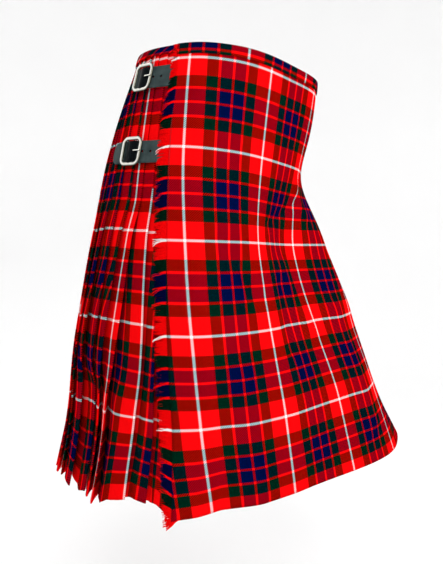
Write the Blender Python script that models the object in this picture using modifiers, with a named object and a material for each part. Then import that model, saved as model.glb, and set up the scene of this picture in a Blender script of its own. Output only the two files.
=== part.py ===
"""A pleated tartan kilt as it is worn, hollow, with its straps and buckles fastened.

Metres, +Z up. The wearer faces -Y, so the wearer's right side is at -X. The origin is the middle of the
waist opening, level with the top edge, where the wearer's waist holds the kilt.

The cloth is one long strip. Seen from above it starts at the fringed edge of the over apron, on the
wearer's right, runs counter-clockwise round the front to the left side, folds to and fro through the
pleats over the back, and goes round the front once more as the under apron. Any point of it is given
by its drop below the waist, its distance round the body line and its height out from that line.
"""
from collections import namedtuple
from functools import lru_cache
from math import cos, pi, radians, sin

import bmesh
import bpy
import numpy as np
from mathutils import Matrix, Vector

# ---------------------------------------------------------------- driving sizes, in metres
LENGTH = 0.625           # waist to hem, measured down the cloth
CLOTH = 0.0010           # thickness of the worsted cloth
LAYER = 0.0015           # from the middle of one pressed layer to the middle of the next
TURN = 0.0014            # a fold turns back within this width
GAP = 0.0003             # between neighbouring pieces
PLEATS = 28
INNER_SPACE = 0.0030     # from a pleat's inner end to the fold edge before it
APRON_LAP = 0.014        # the over apron's edge lies this far past the last fold edge
APRON_LIFT = 0.0036      # height of the over apron's edge, over the straps' ends
LIFT_FLAT = 0.028        # the edge stays at that height over this width
LIFT_RUN = 0.045         # and comes down over this one
BAND_HEIGHT = 0.0175     # the waistband strip

STRAP_WIDTH = 0.031
STRAP_THICK = 0.0016
STRAP_HOLE = 0.0046      # hole diameter
HOLE_PITCH = 0.0145
TAB_WIDTH = 0.026
TAB_THICK = 0.0010
FRAME_HEIGHT = 0.0385    # buckle frame, between the middles of its bars
FRAME_WIDTH = 0.0340
FRAME_CORNER = 0.0080
FRAME_RADIUS = 0.0015
FRAME_LEVEL = 0.0059     # height of the frame's middle above the body line
BAR_RADIUS = 0.0010      # the centre bar
BAR_LEVEL = 0.0036
PRONG_RADIUS = 0.00065

FRINGE_STRANDS = 96
FRINGE_LONG = 0.0155
FRINGE_THICK = 0.0008
STRIP_WIDTH = 0.0018

DROPS = (0.0, BAND_HEIGHT, 0.065, 0.118, 0.169, 0.215, 0.270, 0.335, 0.405, 0.480, 0.550,
         LENGTH)         # rows of the net
NEAR_EDGE = (0.0, APRON_LAP, 0.028, 0.040, 0.052, 0.064, 0.076)   # apron columns past its edge
APRON_COLUMNS = 17       # from the last of those to the left-hand ones
EARLY_COLUMNS = 3        # and columns a pleat's width apart before the left fold
SEAM_PLEAT = 14          # the two lengths of cloth are joined inside this pleat

# The body line at each drop: an oval with its own half width, front and back depth, shift and
# squareness (2 is an ellipse). tilt lifts its back right and lowers its front left. edge is the
# distance of the over apron's edge from the right side seam line, forwards. turn is in radians,
# counter-clockwise.
Section = namedtuple("Section", "drop height half_width front back shift_x shift_y "
                                "front_square back_square tilt edge turn")
SECTIONS = (
    Section(0.000, 0.0000, 0.133, 0.119, 0.122, 0.000, 0.000, 2.77, 2.45, 0.0140, 0.0280, 0.03),
    Section(0.143, -0.1385, 0.161, 0.127, 0.138, -0.002, 0.025, 2.74, 2.70, 0.0110, 0.0515, 0.07),
    Section(0.265, -0.2595, 0.189, 0.145, 0.157, 0.007, 0.031, 2.98, 2.85, 0.0050, 0.0685, 0.07),
    Section(0.388, -0.3760, 0.224, 0.152, 0.181, 0.017, 0.018, 3.77, 2.96, 0.0000, 0.0865, 0.05),
    Section(0.510, -0.4880, 0.244, 0.179, 0.206, 0.037, 0.019, 2.91, 3.13, -0.0020, 0.1170, -0.06),
    Section(LENGTH, -0.5915, 0.282, 0.197, 0.228, 0.062, 0.024, 2.72, 3.11, -0.0020, 0.1600, -0.18),
)
TILT_TOWARDS = radians(130)

# The pleats at each drop: the width of cloth that each shows, how freely it hangs (0 stitched down,
# 1 at the hem), and how much wider the last pleats are, as a share.
Pressing = namedtuple("Pressing", "drop pitch freedom wider")
PRESSINGS = (
    Pressing(0.000, 0.0165, 0.00, 0.09),
    Pressing(0.143, 0.0195, 0.00, -0.05),
    Pressing(0.205, 0.0214, 0.00, -0.07),
    Pressing(0.265, 0.0232, 0.30, 0.03),
    Pressing(0.388, 0.0275, 0.60, 0.05),
    Pressing(0.510, 0.0310, 0.85, 0.03),
    Pressing(LENGTH, 0.0340, 1.00, 0.00),
)

# How each pleat hangs at the hem, counted from the last one, under the apron's edge: its extra width
# as a share of the pitch, and how far its face rises from the fold before it.
Hang = namedtuple("Hang", "extra rise")
HANGS = (
    Hang(0.40, 0.0060), Hang(-0.15, 0.0070), Hang(0.60, 0.0100), Hang(-0.15, 0.0095),
    Hang(-0.30, 0.0060), Hang(0.15, 0.0100), Hang(-0.10, 0.0070), Hang(-0.05, 0.0090),
    Hang(0.20, 0.0080), Hang(-0.20, 0.0070),
)

# Broad folds of the hanging cloth, from one point to another, given by the distance from the apron's
# edge and the drop. Depth is out from the body line.
Fold = namedtuple("Fold", "across_1 drop_1 across_2 drop_2 half_width depth")
FOLDS = (
    Fold(0.197, 0.253, 0.253, 0.321, 0.080, -0.0190),
    Fold(0.306, 0.165, 0.260, 0.246, 0.069, -0.0190),
    Fold(0.160, 0.420, 0.170, 0.600, 0.050, 0.0040),
    Fold(0.430, 0.350, 0.470, 0.620, 0.060, -0.0080),
    Fold(-0.090, 0.500, -0.100, 0.680, 0.040, 0.0080),
    Fold(-0.165, 0.480, -0.185, 0.680, 0.026, -0.0100),
    Fold(-0.330, 0.450, -0.350, 0.680, 0.050, 0.0070),
    Fold(-0.460, 0.430, -0.490, 0.680, 0.045, -0.0080),
)

# The two fastenings on the wearer's right: how far behind the over apron's edge the middle of the
# buckle lies, its drop, and how far the strap's tail runs past it. The third, on the left, is
# measured from the apron's left fold.
Fastening = namedtuple("Fastening", "name behind drop tail")
RIGHT_FASTENINGS = (
    Fastening("waist_right", 0.060, 0.043, 0.030),
    Fastening("hip_right", 0.064, 0.149, 0.044),
)
LEFT_FASTENING = Fastening("waist_left", 0.006, 0.048, 0.030)
RIGHT_ROOT = 0.022       # a right-hand strap starts this far inside the apron's edge

# How a strap runs through its buckle: distance towards its root from the centre bar, and height.
Bend = namedtuple("Bend", "along out")
TAIL_STEPS = (0.0, 0.0012, 0.0036, 0.0076)   # from the strap's tip, round its end
TAIL_HIGH, TAIL_LOW = 0.0031, 0.0020         # on the tab, and past the tab's end
STRAP_IN_BUCKLE = (
    Bend(-0.0185, 0.0031), Bend(-0.0140, 0.0031), Bend(-0.0100, 0.0037), Bend(-0.0060, 0.0056),
    Bend(-0.0030, 0.0069), Bend(0.0000, 0.0073), Bend(0.0030, 0.0069), Bend(0.0060, 0.0056),
    Bend(0.0105, 0.0039), Bend(0.0155, 0.0030), Bend(0.0210, 0.0021), Bend(0.0245, 0.0018),
)
STRAP_THROUGH_SLIT = (
    Bend(0.0280, 0.0016), Bend(0.0310, 0.0010), Bend(0.0360, -0.0026), Bend(0.0400, -0.0042),
)
SLIT_FROM, SLIT_TO = 0.0272, 0.0366
HOLES = (0.0045, 0.0045 + HOLE_PITCH, 0.0045 + 2 * HOLE_PITCH)
TAB_TAIL = -0.0260
PRONG_SHAFT = (
    Bend(0.0023, 0.0047), Bend(0.0032, 0.0056), Bend(0.0046, 0.0070), Bend(0.0060, 0.0081),
    Bend(0.0085, 0.0088), Bend(0.0180, 0.0088),
)
RING_STEPS = 1440
FRONT_SHARE = 0.5        # of the girth, within which a fold's distance is measured forwards
LAST_PLEATS = 3

MATERIALS = {
    "tartan": ((0.55, 0.01, 0.01), 0.85, 0.0),
    "leather": ((0.045, 0.055, 0.055), 0.45, 0.0),
    "nickel": ((0.80, 0.80, 0.78), 0.22, 1.0),
}


# ---------------------------------------------------------------- the body line
def smooth(rows, column, drop):
    """A column of a table read at any drop, by a cubic through its rows that never overshoots."""
    at = np.array([row.drop for row in rows])
    value = np.array([getattr(row, column) for row in rows])
    step = np.diff(at)
    slope = np.diff(value) / step
    tangent = np.zeros(len(at))
    tangent[0], tangent[-1] = slope[0], slope[-1]
    for i in range(1, len(at) - 1):
        if slope[i - 1] * slope[i] > 0:
            tangent[i] = 2 * slope[i - 1] * slope[i] / (slope[i - 1] + slope[i])
    i = int(np.clip(np.searchsorted(at, drop) - 1, 0, len(step) - 1))
    x = (drop - at[i]) / step[i]
    return float(value[i] * (1 + 2 * x) * (1 - x) ** 2 + tangent[i] * step[i] * x * (1 - x) ** 2
                 + value[i + 1] * x * x * (3 - 2 * x) + tangent[i + 1] * step[i] * x * x * (x - 1))


def ease(x):
    """0 to 1 with soft ends."""
    x = min(max(x, 0.0), 1.0)
    return x * x * (3 - 2 * x)


class Ring:
    """The body line at one drop, measured from the wearer's right side forwards."""

    def __init__(self, drop):
        size = Section(drop, *[smooth(SECTIONS, name, drop) for name in Section._fields[1:]])
        self.drop = drop
        self.edge = size.edge
        angle = np.linspace(pi, 3 * pi, RING_STEPS + 1)
        front = np.sin(angle) < 0
        depth = np.where(front, size.front, size.back)
        square = np.where(front, size.front_square, size.back_square)
        radius = (np.abs(np.cos(angle) / size.half_width) ** square
                  + np.abs(np.sin(angle) / depth) ** square) ** (-1 / square)
        angle = angle + size.turn
        self.x = size.shift_x + radius * np.cos(angle)
        self.y = size.shift_y + radius * np.sin(angle)
        self.z = size.height + size.tilt * np.cos(angle - TILT_TOWARDS)
        self.arc = np.concatenate([[0], np.cumsum(np.hypot(np.diff(self.x), np.diff(self.y)))])
        self.girth = self.arc[-1]
        self.dx = np.gradient(self.x, self.arc)
        self.dy = np.gradient(self.y, self.arc)

    def point(self, across, out):
        """The point at a distance round the ring and a height out from it."""
        across = across % self.girth
        x, y, z, dx, dy = (np.interp(across, self.arc, line)
                           for line in (self.x, self.y, self.z, self.dx, self.dy))
        out += self.fold(across)
        long = np.hypot(dx, dy)
        return np.array([x + dy / long * out, y - dx / long * out, z])

    def fold(self, across):
        """The height of the broad folds here."""
        total = 0.0
        for fold in FOLDS:
            start = np.array([fold.across_1, fold.drop_1])
            end = np.array([fold.across_2, fold.drop_2])
            past = across - self.edge
            if past > self.girth * FRONT_SHARE:
                past -= self.girth
            here = np.array([past, self.drop])
            along = np.clip(np.dot(here - start, end - start) / np.dot(end - start, end - start), 0, 1)
            far = np.linalg.norm(here - start - along * (end - start)) / fold.half_width
            total += fold.depth * np.exp(-far * far)
        return total


@lru_cache(maxsize=None)
def ring_at(drop):
    return Ring(drop)


# ---------------------------------------------------------------- the pleats
def hang(pleat):
    """How pleat number 1 to PLEATS hangs."""
    return HANGS[(PLEATS - pleat) % len(HANGS)]


class Pleating:
    """The cloth's layout at one drop: its fold edges, and the flat facets between its columns."""

    def __init__(self, drop):
        self.ring = ring_at(drop)
        self.edge = self.ring.edge
        pitch, freedom, wider = (smooth(PRESSINGS, name, drop) for name in Pressing._fields[1:])
        self.width = [pitch * (1 + freedom * hang(k).extra + (wider if k > PLEATS - LAST_PLEATS else 0))
                      for k in range(PLEATS + 1)]
        self.rise = [2 * LAYER + freedom * (hang(k).rise - 2 * LAYER) for k in range(PLEATS + 1)]
        self.fold = [self.edge + APRON_LAP - sum(self.width[k + 1:]) for k in range(PLEATS + 1)]
        left_fold = self.fold[1] + self.ring.girth
        self.before = [left_fold - self.width[1] * back for back in range(EARLY_COLUMNS, -1, -1)]
        near = [self.edge + past for past in NEAR_EDGE]
        middle = np.linspace(near[-1], self.before[0], APRON_COLUMNS)[1:-1]
        self.apron = near + list(middle) + self.before
        self.stations = self.fold[1:] + self.apron[2:]

    def place(self, across, out):
        """The point at a distance round and a height out, on the facets between the stations."""
        across = (across - self.fold[1]) % self.ring.girth + self.fold[1]
        after = int(np.searchsorted(self.stations, across, side="right"))
        after = min(max(after, 1), len(self.stations) - 1)
        start, end = self.stations[after - 1], self.stations[after]
        share = (across - start) / (end - start)
        first, second = self.ring.point(start, out), self.ring.point(end, out)
        return first + (second - first) * share

    def sunk(self, k, across):
        """How far the faces have come down from the fold edge of pleat k at a distance round."""
        total, j = 0.0, k
        while j > 1 and across < self.fold[j - 1]:
            total, j = total + self.rise[j], j - 1
        if j > 1:
            total += self.rise[j] * (self.fold[j] - across) / self.width[j]
        return total

    def face(self, k, across):
        """Height of face k or of its hidden part; the under apron is face PLEATS + 1."""
        if k > PLEATS:
            return -2 * LAYER - self.sunk(PLEATS, across)
        return -self.sunk(k, across)

    def drop_after(self, k):
        """How far the face after pleat k lies below it."""
        return self.rise[k + 1] if k < PLEATS else 2 * LAYER

    def depth(self, k):
        """How deep pleat k folds under: nearly to the fold edge before it."""
        return self.width[k] - INNER_SPACE


@lru_cache(maxsize=None)
def pleating_at(drop):
    return Pleating(drop)


def over_apron_out(past):
    """Height of the over apron at a distance past its edge."""
    return APRON_LIFT * (1 - ease((past - LIFT_FLAT) / LIFT_RUN))


def under_columns(pleating):
    """The under apron's columns: the over apron's, from past the last fold to short of the left one."""
    return pleating.apron[2:-EARLY_COLUMNS]


def left_length(pleating):
    """Over apron and left-hand pleats: distances round and heights out, from the fringed edge on."""
    line = [(across, over_apron_out(across - pleating.edge)) for across in pleating.apron[:-1]]
    line.append((pleating.apron[-1] - TURN, 0.0))
    for k in range(1, SEAM_PLEAT):
        line += turn_back(pleating, k) + next_face(pleating, k + 1)
    back = turn_back(pleating, SEAM_PLEAT)
    return line + back[:2] + [joined(back, 0.0)]


def right_length(pleating):
    """Right-hand pleats and under apron, from the join inside a pleat on."""
    back = turn_back(pleating, SEAM_PLEAT)
    line = [joined(back, GAP)] + back[2:] + next_face(pleating, SEAM_PLEAT + 1)
    for k in range(SEAM_PLEAT + 1, PLEATS + 1):
        line += turn_back(pleating, k) + next_face(pleating, k + 1)
    return line + [(across, -2 * LAYER) for across in under_columns(pleating)]


def joined(back, past):
    """Where the two lengths meet, half way in along a pleat's hidden layer."""
    outer, inner = np.array(back[1]), np.array(back[2])
    long = np.linalg.norm(inner - outer)
    return tuple(outer + (inner - outer) * (0.5 + past / long))


def turn_back(pleating, k):
    """Round the fold edge of pleat k and in under its face: four columns of the net."""
    edge, deep = pleating.fold[k], pleating.depth(k)
    line = [(edge, -LAYER / 2)]
    for across in (edge - TURN, edge - deep + TURN):
        share = (edge - across) / deep
        out = pleating.face(k, across) - LAYER - (pleating.drop_after(k) - 2 * LAYER) * share
        line.append((across, out))
    inner = edge - deep
    line.append((inner, pleating.face(k + 1, inner) + LAYER / 2))
    return line


def next_face(pleating, k):
    """Out again from inside and over the face of pleat k, or up to the under apron."""
    start = pleating.fold[k - 1]
    stops = [start - pleating.depth(k - 1) + TURN, start]
    if k <= PLEATS:
        stops.append(pleating.fold[k] - TURN)
    return [(across, pleating.face(k, across)) for across in stops]


# ---------------------------------------------------------------- Blender helpers
def material(name):
    if name in bpy.data.materials:
        return bpy.data.materials[name]
    colour, rough, metal = MATERIALS[name]
    made = bpy.data.materials.new(name)
    made.use_nodes = True
    shader = made.node_tree.nodes["Principled BSDF"]
    shader.inputs["Base Color"].default_value = (*colour, 1.0)
    shader.inputs["Roughness"].default_value = rough
    shader.inputs["Metallic"].default_value = metal
    return made


def add_object(name, mesh, material_name, collection):
    item = bpy.data.objects.new(name, mesh)
    mesh.materials.append(material(material_name))
    collection.objects.link(item)
    return item


def net(name, rows, material_name, collection):
    """An object from rows of points, every row as long as the others.

    Each quad is split along its shorter diagonal, so layers that lie close together bend alike.
    """
    bm = bmesh.new()
    wide, high = len(rows[0]), len(rows)
    bmesh.ops.create_grid(bm, x_segments=wide - 1, y_segments=high - 1, size=0.5)
    bm.verts.ensure_lookup_table()
    for j, row in enumerate(rows):
        for i, point in enumerate(row):
            bm.verts[j * wide + i].co = point
    bmesh.ops.triangulate(bm, faces=bm.faces[:], quad_method="SHORT_EDGE")
    mesh = bpy.data.meshes.new(name)
    bm.to_mesh(mesh)
    bm.free()
    return add_object(name, mesh, material_name, collection)


def thicken(item, thickness):
    """The wall, half to each side of the net."""
    wall = item.modifiers.new("wall", "SOLIDIFY")
    wall.thickness = thickness
    wall.offset = 0.0
    wall.use_even_offset = True
    wall.use_quality_normals = True


def cut(item, cutters, operation="DIFFERENCE"):
    for cutter in cutters:
        step = item.modifiers.new(cutter.name, "BOOLEAN")
        step.operation = operation
        step.solver = "EXACT"
        step.object = cutter


def cutter_from(bm, name, matrix):
    mesh = bpy.data.meshes.new(name)
    bm.to_mesh(mesh)
    bm.free()
    item = bpy.data.objects.new(name, mesh)
    item.matrix_world = matrix
    item.hide_render = True
    item.display_type = "WIRE"
    CUTTERS.objects.link(item)
    return item


# ---------------------------------------------------------------- cloth pieces
def cloth_piece(name, length):
    """One length of cloth; length gives its line at one drop."""
    rows = []
    for drop in reversed(DROPS):
        pleating = pleating_at(drop)
        rows.append([pleating.place(across, out) for across, out in length(pleating)])
    item = net(name, rows, "tartan", KILT)
    thicken(item, CLOTH)
    return item


def band_line(pleating):
    """The waistband: over the over apron and the pleats, then under the over apron's edge."""
    line = [(across, over_apron_out(across - pleating.edge) + LAYER) for across in pleating.apron]
    line += [(across, LAYER) for across in pleating.fold[2:]]
    for across in under_columns(pleating):
        sinking = ease((across - pleating.edge - APRON_LAP) / (NEAR_EDGE[-2] - APRON_LAP))
        line.append((across, LAYER - 2 * LAYER * sinking))
    return line


def waistband():
    rows = []
    for drop in (BAND_HEIGHT, 0.0):
        pleating = pleating_at(drop)
        rows.append([pleating.place(across, out) for across, out in band_line(pleating)])
    thicken(net("waistband", rows, "tartan", KILT), CLOTH)


def on_cloth(drop, past, out):
    """The point past the over apron's edge and out from the body line, straight between the rows."""
    row = max(j for j in range(len(DROPS) - 1) if DROPS[j] <= drop)
    share = (drop - DROPS[row]) / (DROPS[row + 1] - DROPS[row])
    above, below = (pleating_at(at).place(pleating_at(at).edge + past, out)
                    for at in (DROPS[row], DROPS[row + 1]))
    return above + (below - above) * share


def beside_edge(drop, back, out):
    """A point beside the over apron's edge."""
    return on_cloth(drop, -back, APRON_LIFT + out)


def fringe():
    """Strands of unravelled cloth on a narrow strip beside the over apron's edge."""
    half = FRINGE_THICK / 2
    near, far = GAP, GAP + STRIP_WIDTH
    corners = ((near, 0.0), (far, half), (far, -half))
    steps = 2 * FRINGE_STRANDS + 1
    rows = []
    for i in range(steps + 1):
        row = [beside_edge(LENGTH * i / steps, back, out) for back, out in corners]
        rows.append(row + row[:1])
    bm = bmesh.new()
    wide = len(rows[0])
    bmesh.ops.create_grid(bm, x_segments=wide - 1, y_segments=steps, size=0.5)
    bm.verts.ensure_lookup_table()
    for j, row in enumerate(rows):
        for i, point in enumerate(row):
            bm.verts[j * wide + i].co = point
    bm.faces.ensure_lookup_table()
    roots = [bm.faces[j * (wide - 1) + 1] for j in range(1, steps, 2)]
    bmesh.ops.remove_doubles(bm, verts=bm.verts, dist=GAP / 100)
    bmesh.ops.holes_fill(bm, edges=[edge for edge in bm.edges if edge.is_boundary], sides=3)
    strands = bmesh.ops.extrude_discrete_faces(bm, faces=roots)["faces"]
    for k, face in enumerate(strands):
        reach = FRINGE_LONG - 0.0015 * (0.5 + 0.5 * sin(2.4 * k))
        sag = 0.0022 + 0.0008 * sin(1.7 * k)
        centre = face.calc_center_median()
        drop = LENGTH * (2 * k + 1.5) / steps
        tip = beside_edge(min(drop + sag, LENGTH), far + reach, 0.0004)
        for vert in face.verts:
            vert.co += type(vert.co)(tip) - centre
    bmesh.ops.recalc_face_normals(bm, faces=bm.faces)
    mesh = bpy.data.meshes.new("fringe")
    bm.to_mesh(mesh)
    bm.free()
    add_object("fringe", mesh, "tartan", KILT)


# ---------------------------------------------------------------- straps and buckles
class Place:
    """The place of one buckle: along runs to the strap's root, up runs up the kilt, out stands off it.

    past is its distance past the over apron's edge, forwards 1 if its strap runs to the wearer's left.
    """

    def __init__(self, past, drop, forwards):
        self.past, self.drop, self.forwards = past, drop, forwards
        self.origin = on_cloth(drop, past, 0.0)
        step = 0.010
        tangent = on_cloth(drop, past + step, 0.0) - on_cloth(drop, past - step, 0.0)
        tangent /= np.linalg.norm(tangent)
        up = on_cloth(drop - step, past, 0.0) - on_cloth(drop + step, past, 0.0)
        self.lean = np.dot(up, tangent) / (2 * step)
        up -= tangent * np.dot(up, tangent)
        self.rise = np.linalg.norm(up) / (2 * step)
        self.up = up / np.linalg.norm(up)
        self.out = np.cross(tangent, self.up)
        self.along = tangent * forwards

    def flat(self, along, up, out):
        """A point of the buckle's own flat frame."""
        return self.origin + self.along * along + self.up * up + self.out * out

    def laid(self, along, up, out, flat_to):
        """A point that lies on the cloth, and keeps its flat height out to flat_to from the bar."""
        climb = up / self.rise
        drop, past = self.drop - climb, self.past + self.forwards * along - self.lean * climb
        fall = np.dot(on_cloth(drop, past, 0.0) - self.origin, self.out)
        share = ease(2.0 - abs(along) / flat_to)
        return on_cloth(drop, past, out - fall * share)

    def matrix(self, along, up, out):
        """X along the cloth, Y up, Z out, at a point of the flat frame."""
        axes = (self.along * self.forwards, self.up, self.out)
        turned = Matrix([[float(axis[i]) for axis in axes] for i in range(3)]).to_4x4()
        return Matrix.Translation(Vector(self.flat(along, up, out))) @ turned


def laid_strip(name, place, bends, width_at, flat_to):
    """A leather strip along its bends, with its own width at each."""
    rows = []
    for side in (-1, 1):
        rows.append([place.laid(bend.along, side * width_at(bend.along) / 2, bend.out, flat_to)
                     for bend in bends])
    if place.forwards < 0:
        rows.reverse()
    return net(name, rows, "leather", KILT)


def tube(name, points, radius, closed, sides_between, collection):
    """A round wire through the points, as a mesh."""
    curve = bpy.data.curves.new(name, "CURVE")
    curve.dimensions = "3D"
    curve.bevel_depth = radius
    curve.bevel_resolution = sides_between
    curve.use_fill_caps = not closed
    spline = curve.splines.new("POLY")
    spline.points.add(len(points) - 1)
    for place, point in zip(spline.points, points):
        place.co = (*point, 1.0)
    spline.use_cyclic_u = closed
    drawn = bpy.data.objects.new(name + "_line", curve)
    collection.objects.link(drawn)
    mesh = bpy.data.meshes.new_from_object(drawn.evaluated_get(bpy.context.evaluated_depsgraph_get()))
    bpy.data.objects.remove(drawn)
    bm = bmesh.new()
    bm.from_mesh(mesh)
    bmesh.ops.remove_doubles(bm, verts=bm.verts, dist=0.00001)
    bmesh.ops.recalc_face_normals(bm, faces=bm.faces)
    bm.to_mesh(mesh)
    bm.free()
    mesh.name = name
    return mesh


def block(name, matrix, size):
    """A box cutter."""
    bm = bmesh.new()
    bmesh.ops.create_cube(bm, size=1.0)
    bmesh.ops.scale(bm, vec=size, verts=bm.verts)
    return cutter_from(bm, name, matrix)


def strap(fastening, place, bends, holes):
    """The leather strap, with its round tip and its holes."""
    tip, round_long, blunt = bends[0].along, 0.011, 0.35

    def width_at(along):
        inwards = min((along - tip) / round_long, 1.0)
        return STRAP_WIDTH * (blunt + (1 - blunt) * (1 - (1 - inwards) ** 2) ** 0.5)

    item = laid_strip("strap_" + fastening.name, place, bends, width_at, FRAME_WIDTH / 3)
    thicken(item, STRAP_THICK)
    cutters = []
    for number, along in enumerate(holes, 1):
        bm = bmesh.new()
        bmesh.ops.create_cone(bm, cap_ends=True, segments=12, radius1=STRAP_HOLE / 2,
                              radius2=STRAP_HOLE / 2, depth=0.020)
        cutters.append(cutter_from(bm, f"hole_{number}_{fastening.name}",
                                   place.matrix(along, 0.0, BAR_LEVEL)))
    cut(item, cutters)


def tab(fastening, place):
    """The leather tab that holds the centre bar: laid flat, taken round the bar and turned back."""
    low = CLOTH / 2 + GAP + TAB_THICK / 2
    high = low + TAB_THICK + GAP
    round_bar = BAR_RADIUS + 0.0004 + TAB_THICK / 2
    bends = [Bend(TAB_TAIL, low), Bend(-0.018, low), Bend(-0.010, low), Bend(-0.0045, low + 0.0001)]
    for degrees in range(245, 511, 29):
        angle = radians(degrees)
        bends.append(Bend(round_bar * cos(angle), BAR_LEVEL + round_bar * sin(angle)))
    bends += [Bend(-0.0030, 0.0037), Bend(-0.0045, high + 0.0003), Bend(-0.0070, high)]
    item = laid_strip("tab_" + fastening.name, place, bends, lambda along: TAB_WIDTH, 0.006)
    thicken(item, TAB_THICK)
    slot = block("slot_" + fastening.name, place.matrix(0.0006, 0.0, BAR_LEVEL), (0.0084, 0.0022, 0.010))
    cut(item, [slot])


def buckle_frame(fastening, place):
    """The rounded frame and its centre bar, cast in one."""
    wide, high = FRAME_WIDTH / 2 - FRAME_CORNER, FRAME_HEIGHT / 2 - FRAME_CORNER
    outline = []
    for corner, (across, up) in enumerate(((wide, high), (-wide, high), (-wide, -high), (wide, -high))):
        for step in range(4):
            angle = pi / 2 * (corner + step / 3)
            outline.append(place.flat(across + FRAME_CORNER * cos(angle),
                                      up + FRAME_CORNER * sin(angle), FRAME_LEVEL))
    name = "frame_" + fastening.name
    item = add_object(name, tube(name, outline, FRAME_RADIUS, True, 2, KILT), "nickel", KILT)
    bm = bmesh.new()
    bmesh.ops.create_cone(bm, cap_ends=True, segments=8, radius1=BAR_RADIUS, radius2=BAR_RADIUS,
                          depth=FRAME_HEIGHT)
    bmesh.ops.rotate(bm, verts=bm.verts, matrix=Matrix.Rotation(pi / 2, 3, "X"))
    bar = cutter_from(bm, "bar_" + fastening.name, place.matrix(0.0, 0.0, BAR_LEVEL))
    cut(item, [bar], "UNION")


def prong(fastening, place):
    """The prong: an eye round the centre bar, up through the strap's hole and over the frame."""
    eye = BAR_RADIUS + 0.0002 + PRONG_RADIUS
    points = []
    for degrees in range(100, 371, 27):
        angle = radians(degrees)
        points.append(place.flat(eye * cos(angle), 0.0, BAR_LEVEL + eye * sin(angle)))
    points += [place.flat(bend.along, 0.0, bend.out) for bend in PRONG_SHAFT]
    name = "prong_" + fastening.name
    add_object(name, tube(name, points, PRONG_RADIUS, False, 1, KILT), "nickel", KILT)


def fasten(fastening, place, bends, holes):
    strap(fastening, place, bends, holes)
    tab(fastening, place)
    buckle_frame(fastening, place)
    prong(fastening, place)


def strap_bends(fastening, rest):
    """The whole strap from its tip: the tail, the way through the buckle, and the rest."""
    tail = [step - fastening.tail for step in TAIL_STEPS]
    bends = [Bend(along, TAIL_LOW if along < TAB_TAIL - 0.005 else TAIL_HIGH) for along in tail]
    if tail[-1] < TAB_TAIL:
        bends.append(Bend(TAB_TAIL, TAIL_HIGH))
    return bends + list(STRAP_IN_BUCKLE) + list(rest)


def right_fastenings():
    for fastening in RIGHT_FASTENINGS:
        place = Place(-fastening.behind, fastening.drop, 1)
        root = fastening.behind + RIGHT_ROOT
        rest = [Bend(along, STRAP_IN_BUCKLE[-1].out) for along in np.linspace(0.031, root, 6)]
        fasten(fastening, place, strap_bends(fastening, rest), HOLES)


def left_fastening(over_apron):
    """Its strap comes from the under apron's edge, inside, and out through a slit."""
    fastening = LEFT_FASTENING
    pleating = pleating_at(fastening.drop)
    past = pleating.apron[-1] + fastening.behind - pleating.edge
    place = Place(past, fastening.drop, -1)
    inside = -2 * LAYER - CLOTH / 2 - GAP - STRAP_THICK / 2
    rest = list(STRAP_THROUGH_SLIT) + [Bend(0.0450, inside)]
    rest += [Bend(pleating.edge + past - column, inside) for column in under_columns(pleating)[:-3:-1]]
    fasten(fastening, place, strap_bends(fastening, rest), HOLES[:2])
    middle = (SLIT_FROM + SLIT_TO) / 2
    away = Place(past - middle, fastening.drop, -1)
    slit = block("slit", away.matrix(0.0, 0.0, 0.0),
                 (SLIT_TO - SLIT_FROM, STRAP_WIDTH + 4 * GAP, 0.0050))
    cut(over_apron, [slit])


def main():
    for item in list(bpy.data.objects):
        bpy.data.objects.remove(item)
    left = cloth_piece("over_apron_and_left_pleats", left_length)
    cloth_piece("right_pleats_and_under_apron", right_length)
    waistband()
    fringe()
    right_fastenings()
    left_fastening(left)


def collection(name):
    made = bpy.data.collections.new(name)
    bpy.context.scene.collection.children.link(made)
    return made


KILT = collection("kilt")
CUTTERS = collection("cutters")
main()
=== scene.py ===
"""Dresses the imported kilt: fine tartan cloth, waistband, fringe, straps and buckles, in soft light.

Metres, +Z up. The wearer faces -Y, so the wearer's right side is at -X. Any point of the cloth is given
by its drop below the waist, its distance round the body line, counter-clockwise from the wearer's right
side, and its height out from that line, as in the solids. The cloth's own UV map holds metres on the
flat cloth: along the strip, and down it.
"""
from collections import namedtuple
from functools import lru_cache
from math import cos, exp, pi, radians, sin
from random import Random

import bmesh
import bpy
import numpy as np
from mathutils import Matrix, Vector
from mathutils.kdtree import KDTree


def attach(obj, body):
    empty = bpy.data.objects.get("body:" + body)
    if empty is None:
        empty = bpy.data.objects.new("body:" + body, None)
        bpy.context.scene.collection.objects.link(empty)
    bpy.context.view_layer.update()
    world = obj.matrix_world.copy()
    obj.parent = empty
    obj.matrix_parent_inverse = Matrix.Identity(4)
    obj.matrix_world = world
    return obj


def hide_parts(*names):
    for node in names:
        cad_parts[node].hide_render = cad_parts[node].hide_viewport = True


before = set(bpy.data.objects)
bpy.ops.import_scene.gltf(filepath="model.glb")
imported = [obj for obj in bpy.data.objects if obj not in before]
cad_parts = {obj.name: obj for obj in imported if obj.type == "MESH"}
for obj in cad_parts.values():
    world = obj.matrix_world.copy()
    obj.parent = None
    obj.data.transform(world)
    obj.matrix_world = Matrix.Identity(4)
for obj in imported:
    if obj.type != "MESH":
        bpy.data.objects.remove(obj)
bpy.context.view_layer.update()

# ---------------- sizes shared with the solids
LENGTH = 0.625
CLOTH = 0.0010
LAYER = 0.0015
TURN = 0.0014
PLEATS = 28
INNER_SPACE = 0.0030
APRON_LAP = 0.014
APRON_LIFT = 0.0036
LIFT_FLAT = 0.028
LIFT_RUN = 0.045
BAND_HEIGHT = 0.0175
BAND_THICK = 0.0012
SEAM_PLEAT = 14
STRAP_WIDTH = 0.031
STRAP_THICK = 0.0016
STRAP_HOLE = 0.0046
HOLE_PITCH = 0.0145
FRAME_HEIGHT = 0.0385
FRAME_WIDTH = 0.0340
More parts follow.
